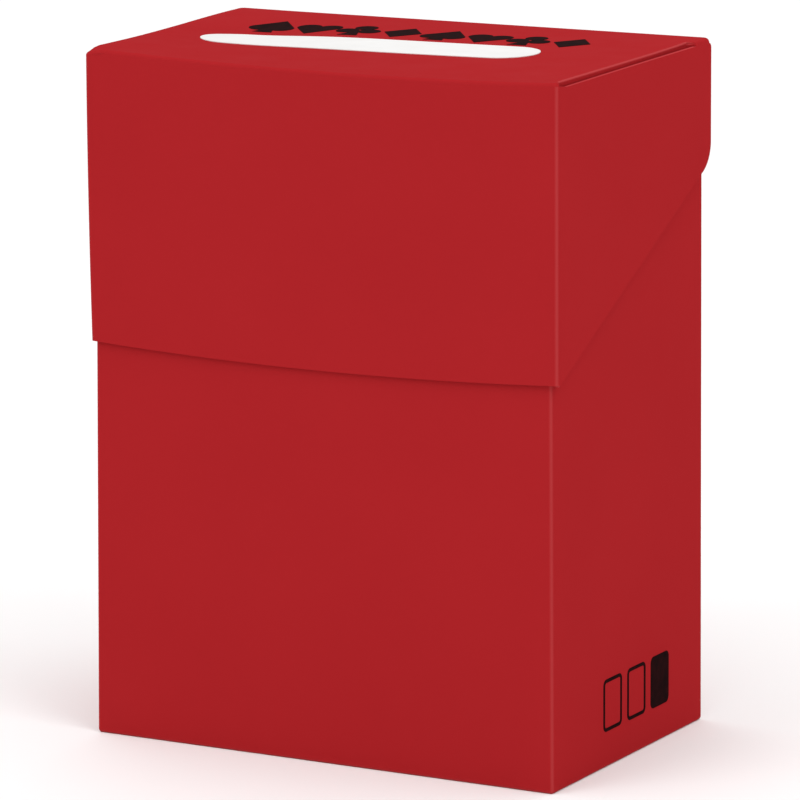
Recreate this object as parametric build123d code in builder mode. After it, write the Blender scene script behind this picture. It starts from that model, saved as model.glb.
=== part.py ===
"""Flip-top deck box for sleeved playing cards, folded from one creased polypropylene sheet.

Every panel and flap of the sheet is its own solid. The frame has +X to the right, +Y to the back
and +Z up, with its origin in the middle of the bottom. All sizes are in millimetres.
"""
import os

from build123d import *

# The sheet
SHEET = 0.5  # thickness
FOLD_RADIUS = 0.45  # outside of a crease
WEB = 0.25  # thickness left in the crease that the lid turns on

# The body, outside
WIDTH = 72.0
DEPTH = 47.5
HEIGHT = 98.9  # floor to the outside of the lid's top
FRONT_HEIGHT = 78.0  # top edge of the front wall, hidden by the lid
FINGER_DIP = (44.0, 7.0)  # width and depth of the dip in that edge
BACK_HEIGHT = 97.9  # top edge of the back wall, where the hinge crease starts
SIDE_BACK_HEIGHT = 97.6  # highest point of the side walls, at the back

# The closed bottom and the tube's seam
DUST_FLAP = (21.0, 43.0)  # reach inwards and depth
DUST_FLAP_CORNER = 6.0
BOTTOM_SEAM_FLAP = (66.0, 13.0)  # width and height
SEAM_FLAP = (13.0, 82.0)  # reach forwards and height
FLAP_CORNER = 4.0

# The lid
FRONT_CLEARANCE = 0.25  # body to lid, at the front
SIDE_CLEARANCE = 0.2  # body to lid tab, on each side
RIM_CORNER = 57.2  # lower edge of the lid's front, at its corners
RIM_MIDDLE = 56.15  # and in the middle, where it bows down
LID_REAR = 23.6  # rear edge of the lid's side panels
DIAGONAL_RISE = 0.51  # slope of the lower edge of the lid's side panels
LID_HEEL_RADIUS = 4.5  # lower rear corner of those panels
SIDE_DROP = (0.9, 0.62)  # their free upper edge below the top, at its front and rear
SIDE_TOP_CORNER = 0.8  # upper rear corner of those panels
TAB_DROP = 14.0
TAB_LENGTH = (-22.5, 21.0)  # front and rear end of the tabs
TAB_CORNER = 3.0
EAR_START = 21.8  # behind this the top reaches out over the side panels
EAR_CORNER = 0.6  # rounded rear corners of the top
HINGE_SLOT = 0.1  # hinge crease to the rear edge of the top

# What is on and in the box
STRIP = (52.2, 10.4)
STRIP_CENTRE = (-4.45, -0.9)
STRIP_SLANT = 1.85  # degrees; the film is stuck on a little askew
STRIP_THICKNESS = 0.1
INK = 0.05
PIP_ROW = (-25.4, 6.7, 11.0)  # first pip, pitch and distance behind the middle of the lid
PIP = 3.4  # half the width of a pip
ICON_CENTRE = (2.2, 8.95)  # of the side mark, from the middle of the right wall and the floor
ICON_CARD = (5.8, 7.5)
ICON_PITCH = 7.5
ICON_LINE = 0.5  # of the two outlined cards; the last one is solid
ICON_CORNER = 0.9
DIVIDER = (68.0, 94.0)
DIVIDER_CORNER = 3.0
DIVIDER_FLOOR_GAP = 0.2
DIVIDER_BACK_GAP = 0.5

# Worked out from the above
HALF_WIDTH = WIDTH / 2
HALF_DEPTH = DEPTH / 2
INNER_HALF_WIDTH = HALF_WIDTH - SHEET
INNER_HALF_DEPTH = HALF_DEPTH - SHEET
TAB_INSIDE = HALF_WIDTH + SIDE_CLEARANCE
TOP_HALF_WIDTH = TAB_INSIDE + SHEET
LID_HALF_WIDTH = TOP_HALF_WIDTH + SHEET
LID_INNER_FRONT = HALF_DEPTH + FRONT_CLEARANCE
LID_FRONT = LID_INNER_FRONT + SHEET
TOP_UNDERSIDE = HEIGHT - SHEET
TOP_REAR = HALF_DEPTH - WEB - HINGE_SLOT

os.makedirs("parts", exist_ok=True)


def save(piece, name):
    """Label one finished piece and write it to its own STEP file."""
    piece.part.label = name
    export_step(piece.part, f"parts/{name}.step")


def round_folds(piece, outward, along):
    """Round the outer edges of a plate that are creases to its neighbours."""
    outer_face = piece.faces().sort_by(outward)[-1]
    fillet([edge for edge in outer_face.edges() if along(edge)], FOLD_RADIUS)


def is_upright(edge):
    """True for an edge that runs straight up."""
    return abs(edge.tangent_at(0.5).Z) > 0.99


# ---- Body walls ----

with BuildPart() as front_panel:
    with BuildSketch(Plane.XZ.offset(INNER_HALF_DEPTH)):
        with BuildLine():
            dip_half, dip_depth = FINGER_DIP[0] / 2, FINGER_DIP[1]
            Polyline(
                (-dip_half, FRONT_HEIGHT),
                (-HALF_WIDTH, FRONT_HEIGHT),
                (-HALF_WIDTH, 0),
                (HALF_WIDTH, 0),
                (HALF_WIDTH, FRONT_HEIGHT),
                (dip_half, FRONT_HEIGHT),
            )
            ThreePointArc(
                (dip_half, FRONT_HEIGHT),
                (0, FRONT_HEIGHT - dip_depth),
                (-dip_half, FRONT_HEIGHT),
            )
        make_face()
    extrude(amount=SHEET)
    round_folds(front_panel, -Axis.Y, lambda edge: is_upright(edge) or edge.center().Z < SHEET)
save(front_panel, "front_panel")

with BuildPart() as back_panel:
    with BuildSketch(Plane.XZ.offset(-HALF_DEPTH)):
        Rectangle(WIDTH, BACK_HEIGHT, align=(Align.CENTER, Align.MIN))
    extrude(amount=SHEET)
    round_folds(back_panel, Axis.Y, lambda edge: is_upright(edge) or edge.center().Z < SHEET)
save(back_panel, "back_panel")

for side, name in ((-1, "left_side_panel"), (1, "right_side_panel")):
    with BuildPart() as side_panel:
        with BuildSketch(Plane.YZ.offset(side * INNER_HALF_WIDTH)):
            with BuildLine():
                Polyline(
                    (-INNER_HALF_DEPTH, 0),
                    (INNER_HALF_DEPTH, 0),
                    (INNER_HALF_DEPTH, SIDE_BACK_HEIGHT),
                    (-INNER_HALF_DEPTH, FRONT_HEIGHT),
                    close=True,
                )
            make_face()
        extrude(amount=side * SHEET)
        outward = Axis.X if side > 0 else -Axis.X
        round_folds(side_panel, outward, lambda edge: edge.center().Z < SHEET)
    save(side_panel, name)

# ---- Bottom and seam, all inside the walls ----

with BuildPart() as bottom_panel:
    Box(
        2 * INNER_HALF_WIDTH,
        2 * INNER_HALF_DEPTH,
        SHEET,
        align=(Align.CENTER, Align.CENTER, Align.MIN),
    )
save(bottom_panel, "bottom_panel")

for side, name in ((-1, "left_dust_flap"), (1, "right_dust_flap")):
    with BuildPart() as dust_flap:
        with BuildSketch(Plane.XY.offset(SHEET)) as flap_outline:
            root = side * INNER_HALF_WIDTH
            with Locations((root - side * DUST_FLAP[0] / 2, 0)):
                Rectangle(*DUST_FLAP)
            tips = flap_outline.vertices().group_by(Axis.X)[0 if side > 0 else -1]
            chamfer(tips, DUST_FLAP_CORNER)
        extrude(amount=SHEET)
    save(dust_flap, name)

with BuildPart() as bottom_seam_flap:
    with BuildSketch(Plane.XZ.offset(INNER_HALF_DEPTH - SHEET)) as flap_outline:
        with Locations((0, SHEET)):
            Rectangle(*BOTTOM_SEAM_FLAP, align=(Align.CENTER, Align.MIN))
        fillet(flap_outline.vertices().group_by(Axis.Y)[-1], FLAP_CORNER)
    extrude(amount=SHEET)
save(bottom_seam_flap, "bottom_seam_flap")

with BuildPart() as seam_flap:
    with BuildSketch(Plane.YZ.offset(-INNER_HALF_WIDTH)) as flap_outline:
        with Locations((INNER_HALF_DEPTH - SEAM_FLAP[0] / 2, BACK_HEIGHT / 2)):
            Rectangle(*SEAM_FLAP)
        chamfer(flap_outline.vertices().group_by(Axis.X)[0], FLAP_CORNER)
    extrude(amount=SHEET)
save(seam_flap, "seam_flap")

# ---- Lid ----

with BuildPart() as lid_hinge_web:
    with BuildSketch(Plane.XZ.offset(-HALF_DEPTH)):
        with Locations((0, BACK_HEIGHT)):
            Rectangle(
                WIDTH - 2 * SHEET, HEIGHT - WEB / 2 - BACK_HEIGHT, align=(Align.CENTER, Align.MIN)
            )
    extrude(amount=WEB)
save(lid_hinge_web, "lid_hinge_web")

with BuildPart() as lid_top_panel:
    with BuildSketch(Plane.XY.offset(TOP_UNDERSIDE)) as top_outline:
        with BuildLine():
            right_edge = Polyline(
                (0, -LID_INNER_FRONT),
                (TOP_HALF_WIDTH, -LID_INNER_FRONT),
                (TOP_HALF_WIDTH, EAR_START),
                (LID_HALF_WIDTH, EAR_START + SHEET),
                (LID_HALF_WIDTH, TOP_REAR),
                (0, TOP_REAR),
            )
            mirror(right_edge, about=Plane.YZ)
        make_face()
        rear_edge = top_outline.vertices().group_by(Axis.Y)[-1].sort_by(Axis.X)
        fillet((rear_edge[0], rear_edge[-1]), EAR_CORNER)
    extrude(amount=SHEET)
    top_face = lid_top_panel.faces().sort_by(Axis.Z)[-1]
    tab_folds = top_face.edges().filter_by(Axis.Y).sort_by(SortBy.LENGTH)[-2:]
    fillet(tab_folds, FOLD_RADIUS)
save(lid_top_panel, "lid_top_panel")

with BuildPart() as lid_front_panel:
    with BuildSketch(Plane.XZ.offset(LID_INNER_FRONT)):
        with BuildLine():
            Polyline(
                (-LID_HALF_WIDTH, RIM_CORNER),
                (-LID_HALF_WIDTH, HEIGHT),
                (LID_HALF_WIDTH, HEIGHT),
                (LID_HALF_WIDTH, RIM_CORNER),
            )
            ThreePointArc((LID_HALF_WIDTH, RIM_CORNER), (0, RIM_MIDDLE), (-LID_HALF_WIDTH, RIM_CORNER))
        make_face()
    extrude(amount=SHEET)
    round_folds(
        lid_front_panel, -Axis.Y, lambda edge: is_upright(edge) or edge.center().Z > TOP_UNDERSIDE
    )
save(lid_front_panel, "lid_front_panel")

for side, name in ((-1, "lid_left_side_panel"), (1, "lid_right_side_panel")):
    with BuildPart() as lid_side_panel:
        with BuildSketch(Plane.YZ.offset(side * TOP_HALF_WIDTH)) as lid_side_outline:
            heel_height = RIM_CORNER + DIAGONAL_RISE * (LID_INNER_FRONT + LID_REAR)
            front_drop, rear_drop = SIDE_DROP
            with BuildLine():
                Polyline(
                    (-LID_INNER_FRONT, RIM_CORNER),
                    (LID_REAR, heel_height),
                    (LID_REAR, HEIGHT - rear_drop),
                    (-LID_INNER_FRONT, HEIGHT - front_drop),
                    close=True,
                )
            make_face()
            for end, radius in ((0, LID_HEEL_RADIUS), (-1, SIDE_TOP_CORNER)):
                rear_corners = lid_side_outline.vertices().group_by(Axis.X)[-1].sort_by(Axis.Y)
                fillet(rear_corners[end], radius)
        extrude(amount=side * SHEET)
    save(lid_side_panel, name)

for side, name in ((-1, "lid_left_tab"), (1, "lid_right_tab")):
    with BuildPart() as lid_tab:
        with BuildSketch(Plane.YZ.offset(side * TAB_INSIDE)) as tab_outline:
            tab_front, tab_rear = TAB_LENGTH
            with Locations(((tab_front + tab_rear) / 2, TOP_UNDERSIDE)):
                Rectangle(tab_rear - tab_front, TAB_DROP, align=(Align.CENTER, Align.MAX))
            fillet(tab_outline.vertices().group_by(Axis.Y)[0], TAB_CORNER)
        extrude(amount=side * SHEET)
    save(lid_tab, name)

# ---- Strip and printed marks ----

with BuildPart() as write_on_strip:
    with BuildSketch(Plane.XY.offset(HEIGHT)):
        with Locations(STRIP_CENTRE):
            SlotOverall(*STRIP, rotation=STRIP_SLANT)
    extrude(amount=STRIP_THICKNESS)
save(write_on_strip, "write_on_strip")


def heart(size):
    """A heart with its point towards -Y, drawn in the current sketch."""
    lobe = 0.52 * size
    with Locations((-0.48 * size, 0.3 * size), (0.48 * size, 0.3 * size)):
        Circle(lobe)
    Polygon((-0.93 * size, 0.04 * size), (0.93 * size, 0.04 * size), (0, -1.25 * size), align=None)


def stem(size):
    """The flared foot of a spade or club."""
    Polygon((0, 0), (-0.45 * size, -1.25 * size), (0.45 * size, -1.25 * size), align=None)


def diamond(size):
    """An upright diamond."""
    Polygon((0, 1.2 * size), (0.85 * size, 0), (0, -1.2 * size), (-0.85 * size, 0), align=None)


def spade(size):
    """A heart turned over, on a stem."""
    with Locations((-0.48 * size, -0.3 * size), (0.48 * size, -0.3 * size)):
        Circle(0.52 * size)
    Polygon((-0.93 * size, -0.04 * size), (0.93 * size, -0.04 * size), (0, 1.25 * size), align=None)
    stem(size)


def club(size):
    """Three round leaves on a stem."""
    with Locations((0, 0.65 * size), (-0.5 * size, -0.15 * size), (0.5 * size, -0.15 * size)):
        Circle(0.48 * size)
    stem(size)


first_pip, pip_pitch, pip_row = PIP_ROW
with BuildPart() as top_mark:
    for index, draw_pip in enumerate((spade, heart, club, diamond) * 2):
        with BuildSketch(Plane((first_pip + index * pip_pitch, pip_row, HEIGHT))):
            draw_pip(PIP)
        extrude(amount=INK)
save(top_mark, "top_mark")

card_width, card_height = ICON_CARD
with BuildPart() as side_mark:
    with BuildSketch(Plane.YZ.offset(HALF_WIDTH)):
        for place, is_outlined in ((-1, True), (0, True), (1, False)):
            with Locations((ICON_CENTRE[0] + place * ICON_PITCH, ICON_CENTRE[1])):
                RectangleRounded(card_width, card_height, ICON_CORNER)
                if is_outlined:
                    RectangleRounded(
                        card_width - 2 * ICON_LINE,
                        card_height - 2 * ICON_LINE,
                        ICON_CORNER - ICON_LINE,
                        mode=Mode.SUBTRACT,
                    )
    extrude(amount=INK)
save(side_mark, "side_mark")

# ---- Divider, stored against the back wall ----

with BuildPart() as deck_divider:
    with BuildSketch(Plane.XZ.offset(DIVIDER_BACK_GAP - INNER_HALF_DEPTH)) as divider_outline:
        divider_floor = 2 * SHEET + DIVIDER_FLOOR_GAP
        with Locations((0, divider_floor)):
            Rectangle(*DIVIDER, align=(Align.CENTER, Align.MIN))
        fillet(divider_outline.vertices().group_by(Axis.Y)[-1], DIVIDER_CORNER)
    extrude(amount=SHEET)
save(deck_divider, "deck_divider")
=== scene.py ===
import math

import bmesh
import bpy
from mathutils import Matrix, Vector


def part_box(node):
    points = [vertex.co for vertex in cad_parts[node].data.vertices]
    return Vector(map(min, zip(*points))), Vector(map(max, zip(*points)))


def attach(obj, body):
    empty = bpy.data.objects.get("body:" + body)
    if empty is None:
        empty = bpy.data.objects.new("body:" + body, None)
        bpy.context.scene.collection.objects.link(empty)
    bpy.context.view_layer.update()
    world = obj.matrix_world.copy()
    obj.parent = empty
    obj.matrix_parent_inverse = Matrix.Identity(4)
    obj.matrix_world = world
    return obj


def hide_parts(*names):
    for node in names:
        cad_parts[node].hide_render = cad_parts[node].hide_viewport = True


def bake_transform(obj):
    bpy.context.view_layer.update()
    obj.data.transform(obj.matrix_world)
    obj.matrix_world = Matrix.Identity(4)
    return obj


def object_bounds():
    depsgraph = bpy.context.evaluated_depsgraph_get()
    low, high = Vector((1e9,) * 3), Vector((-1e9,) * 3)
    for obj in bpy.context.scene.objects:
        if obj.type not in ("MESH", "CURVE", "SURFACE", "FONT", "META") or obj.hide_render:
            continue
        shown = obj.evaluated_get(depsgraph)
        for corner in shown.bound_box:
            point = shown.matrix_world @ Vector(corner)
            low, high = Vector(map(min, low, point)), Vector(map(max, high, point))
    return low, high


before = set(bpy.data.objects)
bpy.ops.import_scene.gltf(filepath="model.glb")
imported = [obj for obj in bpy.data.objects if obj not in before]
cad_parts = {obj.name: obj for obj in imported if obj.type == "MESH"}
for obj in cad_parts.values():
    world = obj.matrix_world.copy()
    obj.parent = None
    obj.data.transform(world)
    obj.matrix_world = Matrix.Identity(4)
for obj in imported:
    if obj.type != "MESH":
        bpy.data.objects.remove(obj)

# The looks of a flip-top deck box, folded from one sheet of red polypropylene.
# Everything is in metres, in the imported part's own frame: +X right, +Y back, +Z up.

MM = 0.001
cad_low, cad_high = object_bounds()

# ---- Sizes read from the frame ----

body_low, body_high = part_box("front_panel")
_, back_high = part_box("back_panel")
top_low, top_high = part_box("lid_top_panel")
rim_low, rim_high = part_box("lid_front_panel")
_, side_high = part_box("lid_right_side_panel")
tab_low, tab_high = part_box("lid_right_tab")
web_low, web_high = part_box("lid_hinge_web")
strip_low, strip_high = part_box("write_on_strip")
seam_low, seam_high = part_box("seam_flap")

SHEET = body_high.y - body_low.y
HALF_WIDTH = body_high.x
FRONT_Y = body_low.y
BACK_Y = back_high.y
LID_HALF = rim_high.x
LID_FRONT_Y = rim_low.y
LID_TOP = rim_high.z
TOP_HALF = tab_high.x

# ---- How the sheet is bent: small sizes that only the looks need ----

FOLD = 0.52 * MM  # outside radius of a crease
TAB_FOLD = 0.36 * MM  # the same where the top turns down into a tab
TAB_FOLD_DEPTH = 0.96 * TAB_FOLD  # depth of the sheet in a bend that tight
EDGE_ROUND = 0.06 * MM  # softening of the die-cut edges
FILM_ROUND = 0.03 * MM  # and of the write-on film's
EDGE_ANGLE = math.radians(50)  # sharper corners than this are softened
CROWN = 0.12 * MM  # how far a wall bulges outwards in its middle
SPREAD = {  # how far each side wall stands out, at the floor and at the lid's top
    -1: (0.33 * MM, -0.28 * MM),
    1: (0.43 * MM, -0.46 * MM),
}
SAG = 0.88 * MM  # dip of the lid's top along its front crease
SAG_PLACE = (0.1, -1.35)  # where it is deepest at its front and rear, as a share of the half width
SAG_LEFTMOST = -0.72  # and the furthest left that this goes
SAG_FADE = 1.4  # how it fades towards the back: a higher power keeps it longer
SAG_ROUND = 0.8  # under 1, the dip is flat in its middle and steep at the sides
TILT = (0.28 * MM, 0.75 * MM)  # how much lower the top's left edge lies, at its front and rear
RIM_RISE = 1.1 * MM  # how much higher the lid's rim lies at its corners than in its middle
RIM_TILT = 0.22 * MM  # and how much of that its right corner has more than the middle, and the left less
PINCH_RIGHT = (0.0 * MM, 0.27 * MM)  # how far the lid's right side leans in, at its rim and top
PINCH_LEFT = (0.9 * MM, 0.30 * MM)  # the same for its left side
SPLAY = 2.4 * MM  # how far the lid's left side stands out at its rear
SPLAY_START = 0.18  # share of the depth where that begins
FOLD_RUN_IN = (0.3 * MM, 1.4 * MM)  # how far the right tab's crease lies in, at its front and rear
RUN_IN_POWER = 6  # a high power keeps nearly all of that for the last third
OVERHANG = 0.4 * MM  # how far the left tab's crease stands out over its side panel
TAB_BELLY = {-1: 0.6 * MM, 1: 3.5 * MM}  # height over which a tab bends back to its side panel
LEFT_EDGE_DROP = 1.15 * MM  # top to the upper edge of the lid's left side panel
EDGE_BOW = 0.05 * MM  # how far the upper edge of the right side panel bows up in its middle
DENT = 0.55 * MM  # a dent in the top's left rear quarter
DENT_PLACE = (-27.0 * MM, 4.5 * MM)
DENT_REACH = 11.0 * MM
DENT_HOLD = 8  # a high power ends the dent only close to the top's side
CORNER_DIP = 0.62 * MM  # how far the lid's front left corner is pressed down
CORNER_REACH = (2.5 * MM, 3.2 * MM)  # and over what width and depth
EAR_LEAD = 2.4 * MM  # how far before the right tab's end the top already lies on its side panel
TURN_OUT = 0.7 * MM  # length over which the right tab turns out to meet the side panel there
EAR_BEND = 0.6 * MM  # width over which the top's right rear ear bends down to its side panel
EAR_CORNER = 0.6 * MM  # rounded rear corners of the top
UNDER_EAR = 1.4 * MM  # how far a tab reaches back under the top's rear ear
STRIP_SLANT = math.radians(1.85)
STRIP_TIP = 0.02 * MM  # half width of the film at the very end of its round ends
FLAP_CORNER = 4.0 * MM  # cut corners of the seam flap
TAB_CORNER = 3.0 * MM  # rounded lower corners of the lid's tabs

# ---- Mesh spacing ----

GRID = 2.5 * MM  # on the flat of a sheet
CORNER_GRID = 0.3 * MM  # along the lid's top: at its front corners,
TAB_GRID = 1.25 * MM  # beside the tabs,
EAR_GRID = 0.8 * MM  # and at its rear ears
HINGE_GRID = (4 * MM, 0.3 * MM)  # along the hinge crease and up it
FILM_GRID = 2 * MM
SNIP = 0.15 * MM  # half the mesh gap where a tab is cut free
FOLD_STEPS = 8
FILM_END_STEPS = 16
TOP_COLUMNS = 32
FLAP_COLUMNS = 6
WALL_ROWS = 24
LID_SIDE_ROWS = 18
TAB_ROWS = 16
FILM_ROWS = 8
UPPER_SHARE = 0.8  # a plate's upper edge lies above this share of its height, its lower edge below


def clamp(value, low=0.0, high=1.0):
    """The value, kept from low to high."""
    return min(high, max(low, value))


def ease(share):
    """0 to 1 with a soft start and end."""
    share = clamp(share)
    return share * share * (3 - 2 * share)


def between(pair, share):
    """The value at a share of the way from the first of a pair to the second."""
    return pair[0] + (pair[1] - pair[0]) * share


def evenly(start, stop, spacing=GRID):
    """Values from start to stop, about spacing apart."""
    count = max(2, math.ceil(abs(stop - start) / spacing))
    return [start + (stop - start) * i / count for i in range(count + 1)]


def top_drop(x, y):
    """How far the lid's top lies below its highest plane at (x, y)."""
    back = 1 - clamp((BACK_Y - y) / (BACK_Y - LID_FRONT_Y))
    deepest = max(SAG_LEFTMOST, between(SAG_PLACE, back)) * LID_HALF
    edge = LID_HALF if x > deepest else -LID_HALF
    away = min(1.0, abs((x - deepest) / (edge - deepest)))
    sag = SAG * (1 - back**SAG_FADE) * math.cos(math.pi / 2 * away) ** SAG_ROUND
    tilt = between(TILT, back) * (LID_HALF - x) / (2 * LID_HALF)
    from_dent = ((x - DENT_PLACE[0]) ** 2 + (y - DENT_PLACE[1]) ** 2) / DENT_REACH**2
    dent = DENT * math.exp(-from_dent) * (1 - min(1.0, abs(x) / LID_HALF) ** DENT_HOLD)
    beside = ease(1 - (x + LID_HALF) / CORNER_REACH[0])
    behind = ease(1 - (y - LID_FRONT_Y) / CORNER_REACH[1])
    return sag + tilt + dent + CORNER_DIP * beside * behind


def lean(x, y, z):
    """Sideways shift of the lid's sheet: pressed in a little, and out again at its rear left."""
    up = clamp((z - rim_low.z) / (LID_TOP - rim_low.z))
    if x > 0:
        return -between(PINCH_RIGHT, up) * x / LID_HALF
    back = (y - LID_FRONT_Y) / (BACK_Y - LID_FRONT_Y)
    inward = between(PINCH_LEFT, 1 - (1 - up) ** 2)
    out = SPLAY * up * ease((back - SPLAY_START) / (1 - SPLAY_START))
    return (out - inward) * x / LID_HALF


def spread(x, y, z):
    """Sideways shift of the body's sheet: it is widest at the floor."""
    return between(SPREAD[1 if x > 0 else -1], z / LID_TOP) * x / HALF_WIDTH


def crown(share_across, share_up):
    """Outward bulge of a wall; shares run from -1 to 1 across it and 0 to 1 up it."""
    return CROWN * (1 - share_across**2) * math.sin(math.pi * clamp(share_up))


def edge_line(node, axis, upper=True):
    """(place, height) pairs along the upper or the lower edge of a CAD plate."""
    low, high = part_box(node)
    divide = low.z + UPPER_SHARE * (high.z - low.z)
    best = max if upper else min
    line = {}
    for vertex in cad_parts[node].data.vertices:
        if (vertex.co.z > divide) == upper:
            place = round(vertex.co[axis], 6)
            line[place] = best(line.get(place, vertex.co.z), vertex.co.z)
    return sorted(line.items())


def height_at(line, place):
    """Height of an edge line at one place along it."""
    if place <= line[0][0]:
        return line[0][1]
    for (low, low_height), (high, high_height) in zip(line, line[1:]):
        if place <= high:
            return low_height + (high_height - low_height) * (place - low) / (high - low)
    return line[-1][1]


# ---- Materials ----


NOISE_MIDDLE = (0.3, 0.7)  # nearly all of a noise's values lie between these


def new_material(name):
    """An empty node material with its Principled shader and object coordinates."""
    material = bpy.data.materials.new(name)
    material.use_nodes = True
    nodes = material.node_tree.nodes
    shader = nodes["Principled BSDF"]
    coordinates = nodes.new("ShaderNodeTexCoord")
    return material, shader, coordinates


def noise(material, coordinates, grain, detail=2.0):
    """Noise whose features are about grain metres across."""
    node = material.node_tree.nodes.new("ShaderNodeTexNoise")
    node.inputs["Scale"].default_value = 1 / grain
    node.inputs["Detail"].default_value = detail
    material.node_tree.links.new(coordinates.outputs["Object"], node.inputs["Vector"])
    return node.outputs["Fac"]


def remap(material, source, low, high):
    """Stretches a noise's middle values to low..high."""
    node = material.node_tree.nodes.new("ShaderNodeMapRange")
    node.inputs["From Min"].default_value = NOISE_MIDDLE[0]
    node.inputs["From Max"].default_value = NOISE_MIDDLE[1]
    node.inputs["To Min"].default_value = low
    node.inputs["To Max"].default_value = high
    material.node_tree.links.new(source, node.inputs["Value"])
    return node.outputs["Result"]


def mix_colours(tree, factor, first, second):
    """A colour between first and second; each is a socket or a colour."""
    node = tree.nodes.new("ShaderNodeMix")
    node.data_type = "RGBA"
    tree.links.new(factor, node.inputs[0])
    for socket, value in ((node.inputs[6], first), (node.inputs[7], second)):
        if isinstance(value, tuple):
            socket.default_value = (*value, 1)
        else:
            tree.links.new(value, socket)
    return node.outputs[2]


def bump(material, shader, height, depth, strength=1.0):
    """Raises the surface by height times depth metres."""
    node = material.node_tree.nodes.new("ShaderNodeBump")
    node.inputs["Distance"].default_value = depth
    node.inputs["Strength"].default_value = strength
    material.node_tree.links.new(height, node.inputs["Height"])
    material.node_tree.links.new(node.outputs["Normal"], shader.inputs["Normal"])


RED = (0.386, 0.0165, 0.0200)
DEEP_RED = (0.376, 0.0157, 0.0192)
# pale red of the creases: partly stress whitening of the sheet, partly a painted highlight along their
# ridges
PALED_AND_HIGHLIGHT_RED = (0.52, 0.085, 0.088)
# cut edges are paler red: partly the die-cut sheet's own colour, partly a painted highlight along the
# thin edges
EDGE_PALE_AND_HIGHLIGHT_RED = (0.46, 0.045, 0.050)
DEEP_EDGE_PALE_AND_HIGHLIGHT_RED = (0.43, 0.038, 0.043)
FILM_WHITE, FILM_SHADE = (0.82, 0.81, 0.80), (0.78, 0.77, 0.76)
INK_BLACK, INK_BROWN = (0.010, 0.0035, 0.004), (0.020, 0.0045, 0.005)
FLOOR_WHITE, FLOOR_SHADE = (0.965, 0.965, 0.965), (0.955, 0.955, 0.955)


def sheet_material(name, colour, shade):
    """Matte polypropylene sheet: fine grain, faint mottling, and creases paled by stress whitening with a
    painted highlight along their ridges.
    """
    material, shader, coordinates = new_material(name)
    tree = material.node_tree
    mottle = remap(material, noise(material, coordinates, 22 * MM, 3), 0, 1)
    crease = tree.nodes.new("ShaderNodeAttribute")
    crease.attribute_name = "crease"
    plain = mix_colours(tree, mottle, colour, shade)
    # the crease attribute mixes in the pale red: stress whitening plus a painted highlight on the crease
    # ridges
    tree.links.new(mix_colours(tree, crease.outputs["Fac"], plain, PALED_AND_HIGHLIGHT_RED), shader.inputs["Base Color"])
    wear = remap(material, noise(material, coordinates, 6 * MM, 4), 0.46, 0.56)
    tree.links.new(wear, shader.inputs["Roughness"])
    shader.inputs["Specular IOR Level"].default_value = 0.0015
    bump(material, shader, noise(material, coordinates, 0.32 * MM), 0.012 * MM, 0.5)
    return material


def strip_material():
    """Matte white write-on film with a paper-like tooth."""
    material, shader, coordinates = new_material("write_on_film")
    tone = remap(material, noise(material, coordinates, 5 * MM, 3), 0, 1)
    white = mix_colours(material.node_tree, tone, FILM_WHITE, FILM_SHADE)
    material.node_tree.links.new(white, shader.inputs["Base Color"])
    shader.inputs["Roughness"].default_value = 0.62
    shader.inputs["Specular IOR Level"].default_value = 0.2
    bump(material, shader, noise(material, coordinates, 0.12 * MM, 3), 0.008 * MM, 0.6)
    return material


def ink_material():
    """Screen-printed near-black ink with a slightly uneven film."""
    material, shader, coordinates = new_material("printed_ink")
    tone = remap(material, noise(material, coordinates, 1.2 * MM, 3), 0, 1)
    black = mix_colours(material.node_tree, tone, INK_BLACK, INK_BROWN)
    material.node_tree.links.new(black, shader.inputs["Base Color"])
    shader.inputs["Roughness"].default_value = 0.5
    shader.inputs["Specular IOR Level"].default_value = 0.002
    bump(material, shader, noise(material, coordinates, 0.2 * MM), 0.006 * MM, 0.5)
    return material


SHEET_FACE = sheet_material("polypropylene_red", RED, DEEP_RED)
# the cut-edge material carries a painted highlight on the sheets' edges as well as their paler cut colour
CUT_EDGE_WITH_HIGHLIGHT = sheet_material("polypropylene_cut_edge_painted_highlight", EDGE_PALE_AND_HIGHLIGHT_RED, DEEP_EDGE_PALE_AND_HIGHLIGHT_RED)
INK = ink_material()
FILM = strip_material()
CREASE_PALING_AND_HIGHLIGHT = 0.30  # how far a crease's ridge is paled by stress whitening and painted with a highlight
TAB_PALING_AND_HIGHLIGHT = 1.8  # how much more paling and painted highlight the lid's tab creases have
HINGE_PALING = 0.5  # share of the crease paling over the whole of the hinge crease, not only its ridge

# ---- Bent sheets ----


def settle(piece, body, node):
    """The piece rides on its body and stands in for its CAD node, which is hidden."""
    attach(piece, body)
    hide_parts(node)


def smooth(piece):
    """Smooth shading, for sheets with rounded folds."""
    for polygon in piece.data.polygons:
        polygon.use_smooth = True


def soften(piece, width=EDGE_ROUND):
    """Rounds the cut edges a little."""
    modifier = piece.modifiers.new("cut_edges", "BEVEL")
    modifier.width = width
    modifier.segments = 2
    modifier.limit_method = "ANGLE"
    modifier.angle_limit = EDGE_ANGLE
    modifier.harden_normals = True
    smooth(piece)


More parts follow.
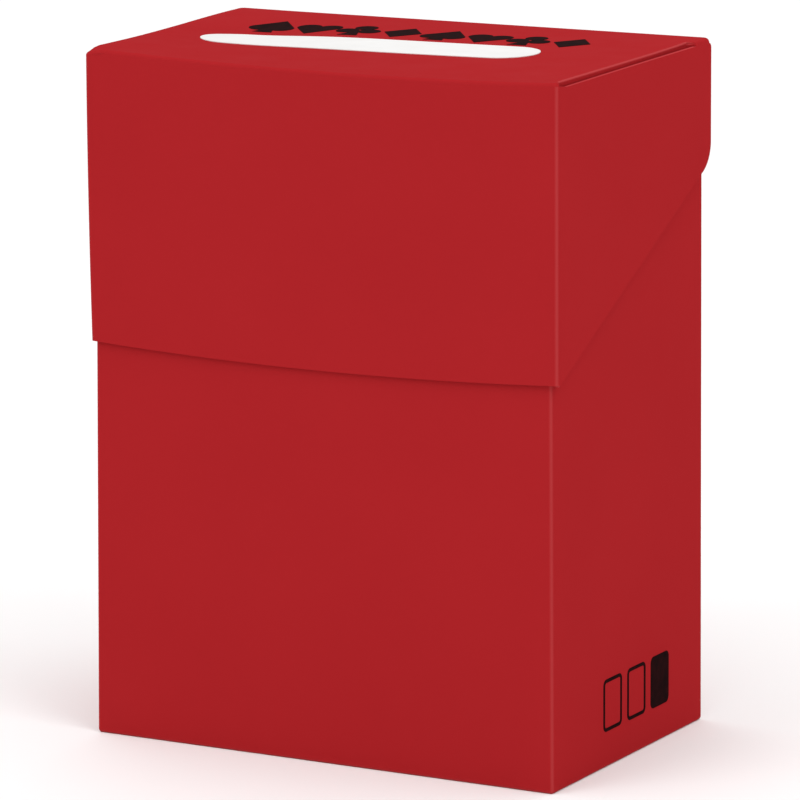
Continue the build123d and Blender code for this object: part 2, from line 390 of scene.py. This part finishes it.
def make_sheet(name, rows, thickness=SHEET, face=SHEET_FACE, edge=CUT_EDGE_WITH_HIGHLIGHT):
    """A sheet behind a grid of outer points, each (place, outward normal, crease, depth).

    The sheet is thickness deep, or only depth where a point gives one.
    """
    height, width = len(rows), len(rows[0])
    count = height * width
    outer = [Vector(point[0]) for row in rows for point in row]
    inner = [
        Vector(point[0]) - Vector(point[1]).normalized() * (point[3] or thickness)
        for row in rows
        for point in row
    ]
    faces = []
    for i in range(height - 1):
        for j in range(width - 1):
            a, b = i * width + j, i * width + j + 1
            c, d = b + width, a + width
            faces.append((a, b, c, d))
            faces.append((count + d, count + c, count + b, count + a))
    skins = len(faces)
    loop = list(range(width))
    loop += [i * width + width - 1 for i in range(1, height)]
    loop += [(height - 1) * width + j for j in range(width - 2, -1, -1)]
    loop += [i * width for i in range(height - 2, 0, -1)]
    for a, b in zip(loop, loop[1:] + loop[:1]):
        faces.append((b, a, count + a, count + b))
    mesh = bpy.data.meshes.new(name)
    mesh.from_pydata([tuple(v) for v in outer + inner], [], faces)
    for index, polygon in enumerate(mesh.polygons):
        polygon.material_index = 0 if index < skins else 1
    # crease values carry the creases' stress whitening and their painted highlight
    creases = [point[2] * CREASE_PALING_AND_HIGHLIGHT for row in rows for point in row]
    mesh.attributes.new("crease", "FLOAT", "POINT").data.foreach_set("value", creases + creases)
    mesh.materials.append(face)
    mesh.materials.append(edge)
    solid = bmesh.new()
    solid.from_mesh(mesh)
    bmesh.ops.recalc_face_normals(solid, faces=solid.faces)
    solid.to_mesh(mesh)
    solid.free()
    piece = bpy.data.objects.new(name, mesh)
    bpy.context.scene.collection.objects.link(piece)
    return piece


def ridge(turn):
    """How strongly a crease is paled and painted with a highlight, at a turn from 0 to a quarter circle
    through it.
    """
    return max(0.0, math.sin(2 * turn)) ** 2


def quarter(steps=FOLD_STEPS):
    """Angles over a quarter turn, from 0."""
    return [math.pi / 2 * i / steps for i in range(steps + 1)]


def fold_plan(centre, start, stop):
    """(place, normal, crease) along a fold seen end on, with angles in degrees."""
    points = []
    for turn in quarter():
        angle = math.radians(start + (stop - start) * turn / (math.pi / 2))
        normal = (math.cos(angle), math.sin(angle))
        place = (centre[0] + FOLD * normal[0], centre[1] + FOLD * normal[1])
        points.append((place, normal, ridge(turn)))
    return points


def wall_plan(half_width, y, facing):
    """Plan of a wall with a fold at each end. facing is -1 for a front wall, 1 for a back wall."""
    centre_y = y - facing * FOLD
    inner = half_width - FOLD
    if facing < 0:
        left = fold_plan((-inner, centre_y), 180, 270)
        right = fold_plan((inner, centre_y), 270, 360)
    else:
        left = fold_plan((-inner, centre_y), 180, 90)
        right = fold_plan((inner, centre_y), 90, 0)
    flat = [((x, y), (0, facing), 0.0) for x in evenly(-inner, inner)[1:-1]]
    return left + flat + right


def wall(name, plan, top, shift, bulge, bottom=None):
    """A wall that stands on its plan, up to top(x, y), and is creased into the box's bottom.

    shift(x, y, z) moves a point sideways and bulge(x, y, z) pushes it outwards. With bottom(x, y),
    the wall is cut off there instead of creased.
    """
    rows = []
    if bottom is None:
        for turn in quarter()[:0:-1]:
            inset, height = FOLD * (1 - math.cos(turn)), FOLD * (1 - math.sin(turn))
            row = []
            for (x, y), (nx, ny), crease in plan:
                place = (x - nx * inset + shift(x, y, height), y - ny * inset, height)
                normal = (nx * math.cos(turn), ny * math.cos(turn), -math.sin(turn))
                row.append((place, normal, max(crease, ridge(turn)), None))
            rows.append(row)
    for i in range(WALL_ROWS + 1):
        row = []
        for (x, y), (nx, ny), crease in plan:
            low = FOLD if bottom is None else bottom(x, y)
            z = between((low, top(x, y)), i / WALL_ROWS)
            push = bulge(x, y, z)
            place = (x + shift(x, y, z) + nx * push, y + ny * push, z)
            row.append((place, (nx, ny, 0), crease, None))
        rows.append(row)
    return make_sheet(name, rows)


# ---- Body ----

FRONT_EDGE = edge_line("front_panel", 0)
SIDE_EDGE = edge_line("right_side_panel", 1)


def side_bulge(x, y, z):
    """Outward bulge of the body's side walls."""
    return crown(y / BACK_Y, z / body_high.z)


def build_body():
    """The four walls, creased into each other and into the bottom."""
    walls = {
        "front_panel": (
            "front_wall",
            wall_plan(HALF_WIDTH, FRONT_Y, -1),
            lambda x, y: height_at(FRONT_EDGE, x),
            lambda x, y, z: crown(x / HALF_WIDTH, z / body_high.z),
        ),
        "back_panel": (
            "back_wall",
            wall_plan(HALF_WIDTH, BACK_Y, 1),
            lambda x, y: back_high.z - top_drop(x, BACK_Y),
            lambda x, y, z: crown(x / HALF_WIDTH, z / back_high.z),
        ),
    }
    for side, word in ((-1, "left"), (1, "right")):
        walls[f"{word}_side_panel"] = (
            f"{word}_wall",
            [((side * HALF_WIDTH, y), (side, 0), 0.0) for y in evenly(FRONT_Y + FOLD, BACK_Y - FOLD)],
            lambda x, y: height_at(SIDE_EDGE, y) - (top_drop(x, y) if x < 0 else 0),
            side_bulge,
        )
    for node, (name, plan, top, bulge) in walls.items():
        piece = wall(name, plan, top, spread, bulge)
        soften(piece)
        settle(piece, "body", node)


def bottom():
    """The bottom panel, out to the creases of the walls around it."""
    rows = []
    for y in evenly(FRONT_Y + FOLD, BACK_Y - FOLD):
        columns = evenly(FOLD - HALF_WIDTH, HALF_WIDTH - FOLD)
        rows.append([((x + spread(x, y, 0), y, 0), (0, 0, -1), 0.0, None) for x in columns])
    piece = make_sheet("bottom_sheet", rows)
    soften(piece)
    settle(piece, "body", "bottom_panel")


def seam_flap():
    """The flap welded inside the left wall, which closes the tube."""
    rows = []
    x = -HALF_WIDTH + SHEET
    for z in evenly(seam_low.z, seam_high.z):
        cut = FLAP_CORNER - min(FLAP_CORNER, z - seam_low.z, seam_high.z - z)
        columns = [
            between((seam_low.y + cut, seam_high.y), i / FLAP_COLUMNS)
            for i in range(FLAP_COLUMNS + 1)
        ]
        rows.append([((x + spread(x, y, z), y, z), (-1, 0, 0), 0.0, None) for y in columns])
    piece = make_sheet("seam_sheet", rows)
    soften(piece)
    settle(piece, "body", "seam_flap")


# ---- Lid ----

LID_SIDE_UPPER = edge_line("lid_right_side_panel", 1)
LID_SIDE_LOWER = edge_line("lid_right_side_panel", 1, upper=False)


def rim(x, y):
    """Lower edge of the lid's front."""
    across = clamp(x / LID_HALF, -1.0)
    return rim_low.z + RIM_RISE * across**2 + RIM_TILT * across


def lid_front():
    """The front of the lid, which runs round a crease into each side panel."""
    piece = wall(
        "lid_front",
        wall_plan(LID_HALF, LID_FRONT_Y, -1),
        lambda x, y: LID_TOP - FOLD - top_drop(x, y),
        lean,
        lambda x, y, z: crown(x / LID_HALF, (z - rim_low.z) / (LID_TOP - rim_low.z)),
        rim,
    )
    soften(piece)
    settle(piece, "lid", "lid_front_panel")


def side_upper(side, y):
    """Upper edge of a side panel of the lid."""
    edge = height_at(LID_SIDE_UPPER, y)
    if side < 0:
        return min(edge, LID_TOP - LEFT_EDGE_DROP) - top_drop(-LID_HALF, y)
    back = (y - LID_FRONT_Y) / (side_high.y - LID_FRONT_Y)
    to_tab = (y - LID_FRONT_Y - FOLD) / (tab_low.y - LID_FRONT_Y - FOLD)
    rise = (top_low.z - edge) * (1 - ease(to_tab))
    return edge + max(rise, EDGE_BOW * math.sin(math.pi * back))


def lid_side(side, word):
    """One side panel of the lid: free along its upper edge and its rear end."""
    front, rear = LID_FRONT_Y + FOLD, side_high.y
    corners = [y for y, _ in LID_SIDE_UPPER + LID_SIDE_LOWER if y > front]
    columns = sorted(set(corners + [y for y in evenly(front, rear) if y < min(corners) - SNIP]))
    rows = []
    for i in range(LID_SIDE_ROWS + 1):
        row = []
        for y in columns:
            z = between((height_at(LID_SIDE_LOWER, y), side_upper(side, y)), i / LID_SIDE_ROWS)
            x = side * LID_HALF
            row.append(((x + lean(x, y, z), y, z), (side, 0, 0), 0.0, None))
        rows.append(row)
    piece = make_sheet(f"lid_{word}_side", rows)
    soften(piece)
    settle(piece, "lid", f"lid_{word}_side_panel")


def fold_line(side, y):
    """Outside of a tab right under its crease. The right one runs inwards towards the back."""
    if side < 0:
        return TOP_HALF + OVERHANG
    back = (y - LID_FRONT_Y) / (top_high.y - LID_FRONT_Y)
    return TOP_HALF - between(FOLD_RUN_IN, back**RUN_IN_POWER)


def tab_end(side):
    """Where the open fold of a tab ends at the back. The right one goes under the ear early."""
    return tab_high.y - (EAR_LEAD if side > 0 else 0.0)


def top_side(side, y):
    """How the top ends at one side: how far out, and how wide and deep it bends down there."""
    outer, width, depth = fold_line(side, y), TAB_FOLD, TAB_FOLD
    if y < tab_low.y:
        share = min(1.0, (tab_low.y - y) / (tab_low.y - LID_FRONT_Y - FOLD))
        outer = between((outer, LID_HALF), ease(share))
        width = depth = between((TAB_FOLD, FOLD), share)
    elif y > tab_end(side) and side > 0:
        outer, width = LID_HALF, EAR_BEND
        depth = LID_TOP - side_upper(side, y)
    over = max(0.0, y - (top_high.y - EAR_CORNER))
    outer -= EAR_CORNER - math.sqrt(max(0.0, EAR_CORNER**2 - over**2))
    return outer, width, depth


def on_top(x, y, drop=0.0):
    """The place at (x, y) on the lid's bent top, and drop below it."""
    return (x + lean(x, y, LID_TOP), y, LID_TOP - (drop + top_drop(x, y)))


def lid_top():
    """The top, folded down at the front and into a tab on each side."""
    stations = [(LID_FRONT_Y + FOLD, turn) for turn in quarter()[::-1]]
    lengths = evenly(LID_FRONT_Y + FOLD, tab_low.y - SNIP, CORNER_GRID)[1:]
    lengths += evenly(tab_low.y + SNIP, tab_end(1) - SNIP, TAB_GRID)
    lengths += evenly(tab_end(1) + SNIP, tab_high.y - SNIP, EAR_GRID)
    lengths += evenly(tab_high.y + SNIP, top_high.y - EAR_CORNER, EAR_GRID)
    lengths += [top_high.y - EAR_CORNER * (1 - math.sin(turn)) for turn in quarter()[1:]]
    stations += [(y, 0.0) for y in lengths]
    rows = []
    for y, turn in stations:
        ends = {side: top_side(side, y) for side in (-1, 1)}
        left, right = -ends[-1][0] + ends[-1][1], ends[1][0] - ends[1][1]
        flat_normal = (0, -math.sin(turn), math.cos(turn))
        sunk, ahead = FOLD * (1 - math.cos(turn)), FOLD * math.sin(turn)
        row = [
            (on_top(between((left, right), i / TOP_COLUMNS), y - ahead, sunk), flat_normal, 0.0, None)
            for i in range(TOP_COLUMNS + 1)
        ]
        for side in (-1, 1):
            outer, width, depth = ends[side]
            part = []
            for bend in quarter()[1:]:
                x = side * (outer - width + width * math.sin(bend))
                drop = depth * (1 - math.cos(bend) * math.cos(turn))
                out, up = side * depth * math.sin(bend), width * math.cos(bend)
                normal = (out, -up * math.sin(turn), up * math.cos(turn))
                place = on_top(x, y - ahead * math.cos(bend), drop)
                is_tab = tab_low.y < y < tab_end(side)
                # extra pale red on the tab creases: a painted highlight along the fold
                crease = TAB_PALING_AND_HIGHLIGHT * ridge(bend) if is_tab else 0.0
                part.append((place, normal, crease, TAB_FOLD_DEPTH))
            row = part[::-1] + row if side < 0 else row + part
        rows.append(row)
    piece = make_sheet("lid_top", rows)
    soften(piece)
    settle(piece, "lid", "lid_top_panel")


def lid_tab(side, word):
    """A tab that the top folds down into, glued inside the side panel lower down."""
    low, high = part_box(f"lid_{word}_tab")
    rear = high.y + UNDER_EAR
    columns = [low.y + TAB_CORNER * (1 - math.cos(turn)) for turn in quarter()]
    middle = evenly(low.y + TAB_CORNER, rear - TAB_CORNER)[1:-1]
    if side > 0:
        middle += [tab_end(side) - TURN_OUT, tab_end(side)]
    columns += sorted(middle)
    columns += [rear - TAB_CORNER * (1 - math.cos(turn)) for turn in quarter()[::-1]]
    rows = []
    for i in range(TAB_ROWS + 1):
        row = []
        for y in columns:
            reach = max(0.0, low.y + TAB_CORNER - y, y - rear + TAB_CORNER)
            lower = low.z + TAB_CORNER - math.sqrt(max(0.0, TAB_CORNER**2 - reach**2))
            crease_x = fold_line(side, y)
            if side > 0:
                turned = ease((y - tab_end(side) + TURN_OUT) / TURN_OUT)
                crease_x = between((crease_x, LID_HALF - SHEET), turned)
            upper = LID_TOP - TAB_FOLD - top_drop(side * crease_x, y)
            upper -= (SHEET - TAB_FOLD) * ease((y - tab_end(side)) / UNDER_EAR)
            z = between((lower, upper), i / TAB_ROWS)
            x = side * between((crease_x, TOP_HALF), ease((upper - z) / TAB_BELLY[side]))
            row.append(((x + lean(x, y, z), y, z), (side, 0, 0), 0.0, None))
        rows.append(row)
    piece = make_sheet(f"lid_{word}_fold_tab", rows)
    soften(piece)
    settle(piece, "lid", f"lid_{word}_tab")


def hinge_web():
    """The thin crease on which the lid turns, from the back wall's top round to the lid's top."""
    web = web_high.y - web_low.y
    arc = FOLD
    rows = []
    for x in evenly(web_low.x, web_high.x, HINGE_GRID[0]):
        drop = top_drop(x, BACK_Y)
        row = [
            ((x, BACK_Y, z - drop), (0, 1, 0), HINGE_PALING, None)
            for z in evenly(back_high.z, LID_TOP - arc, HINGE_GRID[1])[:-1]
        ]
        for turn in quarter():
            place = (x, BACK_Y - arc * (1 - math.cos(turn)), LID_TOP - arc * (1 - math.sin(turn)) - drop)
            crease = between((HINGE_PALING, 1.0), ridge(turn))
            row.append((place, (0, math.cos(turn), math.sin(turn)), crease, None))
        rows.append(row)
    piece = make_sheet("hinge_crease", rows, web)
    smooth(piece)
    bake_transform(piece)
    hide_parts("lid_hinge_web")


# ---- Strip and print ----


def write_on_strip():
    """White film with round ends that follows the top's dip, stuck on a little askew."""
    centre = (strip_low + strip_high) / 2
    size = strip_high - strip_low
    cosine, sine = math.cos(STRIP_SLANT), math.sin(STRIP_SLANT)
    straight = (size.x - size.y) / (cosine - sine) / 2
    radius = size.y / 2 - straight * sine
    thickness = size.z
    columns = [-straight - radius * math.cos(turn) for turn in quarter(FILM_END_STEPS)]
    columns += evenly(-straight, straight, FILM_GRID)[1:-1]
    columns += [straight + radius * math.sin(turn) for turn in quarter(FILM_END_STEPS)]
    rows = []
    for i in range(FILM_ROWS + 1):
        row = []
        for offset in columns:
            past = max(0.0, abs(offset) - straight)
            half = math.sqrt(max(STRIP_TIP**2, radius**2 - past**2))
            beside = half * (2 * i / FILM_ROWS - 1)
            x = centre.x + offset * cosine - beside * sine
            y = centre.y + offset * sine + beside * cosine
            row.append((on_top(x, y, -thickness), (0, 0, 1), 0.0, None))
        rows.append(row)
    piece = make_sheet("write_on_film", rows, thickness, FILM, FILM)
    soften(piece, FILM_ROUND)
    settle(piece, "lid", "write_on_strip")


def printed(node, name, body, lift):
    """A print that follows the sheet under it: the CAD outline, moved by lift(place)."""
    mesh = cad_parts[node].data.copy()
    mesh.name = name
    for vertex in mesh.vertices:
        vertex.co += lift(vertex.co)
    mesh.materials.clear()
    mesh.materials.append(INK)
    piece = bpy.data.objects.new(name, mesh)
    bpy.context.scene.collection.objects.link(piece)
    settle(piece, body, node)


def on_lid(place):
    """What moves a point of the flat CAD top onto the bent one."""
    return Vector((lean(place.x, place.y, LID_TOP), 0, -top_drop(place.x, place.y)))


def on_wall(place):
    """What moves a point of the flat CAD right wall onto the bent one."""
    return Vector((spread(*place) + side_bulge(*place), 0, 0))


# ---- Pieces that keep their CAD shape ----


def dress_cad_pieces():
    """Flaps and the divider: flat sheets whose CAD shape is right."""
    for name in ("bottom_seam_flap", "left_dust_flap", "right_dust_flap", "deck_divider"):
        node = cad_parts[name]
        node.data.materials.clear()
        node.data.materials.append(SHEET_FACE)
        soften(node)


build_body()
bottom()
seam_flap()
lid_front()
lid_top()
for side, word in ((-1, "left"), (1, "right")):
    lid_side(side, word)
    lid_tab(side, word)
hinge_web()
write_on_strip()
printed("top_mark", "top_print", "lid", on_lid)
printed("side_mark", "side_print", "body", on_wall)
dress_cad_pieces()

# ---- Stage, light and camera ----

FLOOR_REACH = 6.0
FLOOR_GRAIN = 0.4
WALL_LIGHT, CEILING_LIGHT = 0.29, 1.35
LIGHTS = (  # name, place, width of the softbox, watts
    ("overhead", (0.1, -0.25, 0.9), 0.7, 0.05),
    ("front_fill", (-0.4, -0.8, 0.7), 0.5, 1.95),
    ("right_fill", (0.7, -0.3, 0.75), 0.5, 1.9),
)
AZIMUTH, ELEVATION = math.radians(28.18), math.radians(11.58)
LENS, SENSOR = 284.7, 36.0
CLIP = (0.05, 20)
DISTANCE = 0.8962
AIM = Vector((0.14 * MM, -0.47 * MM, 47.67 * MM))


def pale_floor():
    """A plain matte floor."""
    mesh = bpy.data.meshes.new("floor")
    corners = [(-1, -1), (1, -1), (1, 1), (-1, 1)]
    corners = [(FLOOR_REACH * x, FLOOR_REACH * y, 0) for x, y in corners]
    mesh.from_pydata(corners, [], [(0, 1, 2, 3)])
    floor = bpy.data.objects.new("floor", mesh)
    bpy.context.scene.collection.objects.link(floor)
    material, shader, coordinates = new_material("pale_floor")
    tone = remap(material, noise(material, coordinates, FLOOR_GRAIN), 0, 1)
    white = mix_colours(material.node_tree, tone, FLOOR_WHITE, FLOOR_SHADE)
    material.node_tree.links.new(white, shader.inputs["Base Color"])
    shader.inputs["Roughness"].default_value = 0.9
    shader.inputs["Specular IOR Level"].default_value = 0.0
    mesh.materials.append(material)


def softbox(name, place, aim, size, watts):
    """A square area light at place, turned to aim."""
    light = bpy.data.lights.new(name, "AREA")
    light.size = size
    light.energy = watts
    lamp = bpy.data.objects.new(name, light)
    lamp.location = place
    lamp.rotation_mode = "QUATERNION"
    lamp.rotation_quaternion = (Vector(aim) - Vector(place)).to_track_quat("-Z", "Y")
    bpy.context.scene.collection.objects.link(lamp)


def studio_light():
    """A white studio: its backdrop shows white, and its ceiling is brighter than its far walls."""
    world = bpy.data.worlds.new("studio")
    bpy.context.scene.world = world
    world.use_nodes = True
    tree = world.node_tree
    direction = tree.nodes.new("ShaderNodeTexCoord")
    split = tree.nodes.new("ShaderNodeSeparateXYZ")
    tree.links.new(direction.outputs["Generated"], split.inputs[0])
    ray = tree.nodes.new("ShaderNodeLightPath")
    wall_tone, ceiling_tone = (WALL_LIGHT,) * 3, (CEILING_LIGHT,) * 3
    room = mix_colours(tree, split.outputs["Z"], wall_tone, ceiling_tone)
    seen = mix_colours(tree, ray.outputs["Is Camera Ray"], room, (1.0, 1.0, 1.0))
    tree.links.new(seen, tree.nodes["Background"].inputs["Color"])
    middle = (cad_low + cad_high) / 2
    for name, place, size, watts in LIGHTS:
        softbox(name, place, middle, size, watts)


def camera():
    """A long lens, a little above the box and to its right."""
    level = math.cos(ELEVATION)
    back = Vector((math.sin(AZIMUTH) * level, -math.cos(AZIMUTH) * level, math.sin(ELEVATION)))
    data = bpy.data.cameras.new("camera")
    data.sensor_width = SENSOR
    data.lens = LENS
    data.clip_start, data.clip_end = CLIP
    eye = bpy.data.objects.new("camera", data)
    eye.location = AIM + back * DISTANCE
    eye.rotation_mode = "QUATERNION"
    eye.rotation_quaternion = (-back).to_track_quat("-Z", "Y")
    bpy.context.scene.collection.objects.link(eye)
    bpy.context.scene.camera = eye


pale_floor()
studio_light()
camera()
bpy.context.scene.view_settings.view_transform = "Standard"
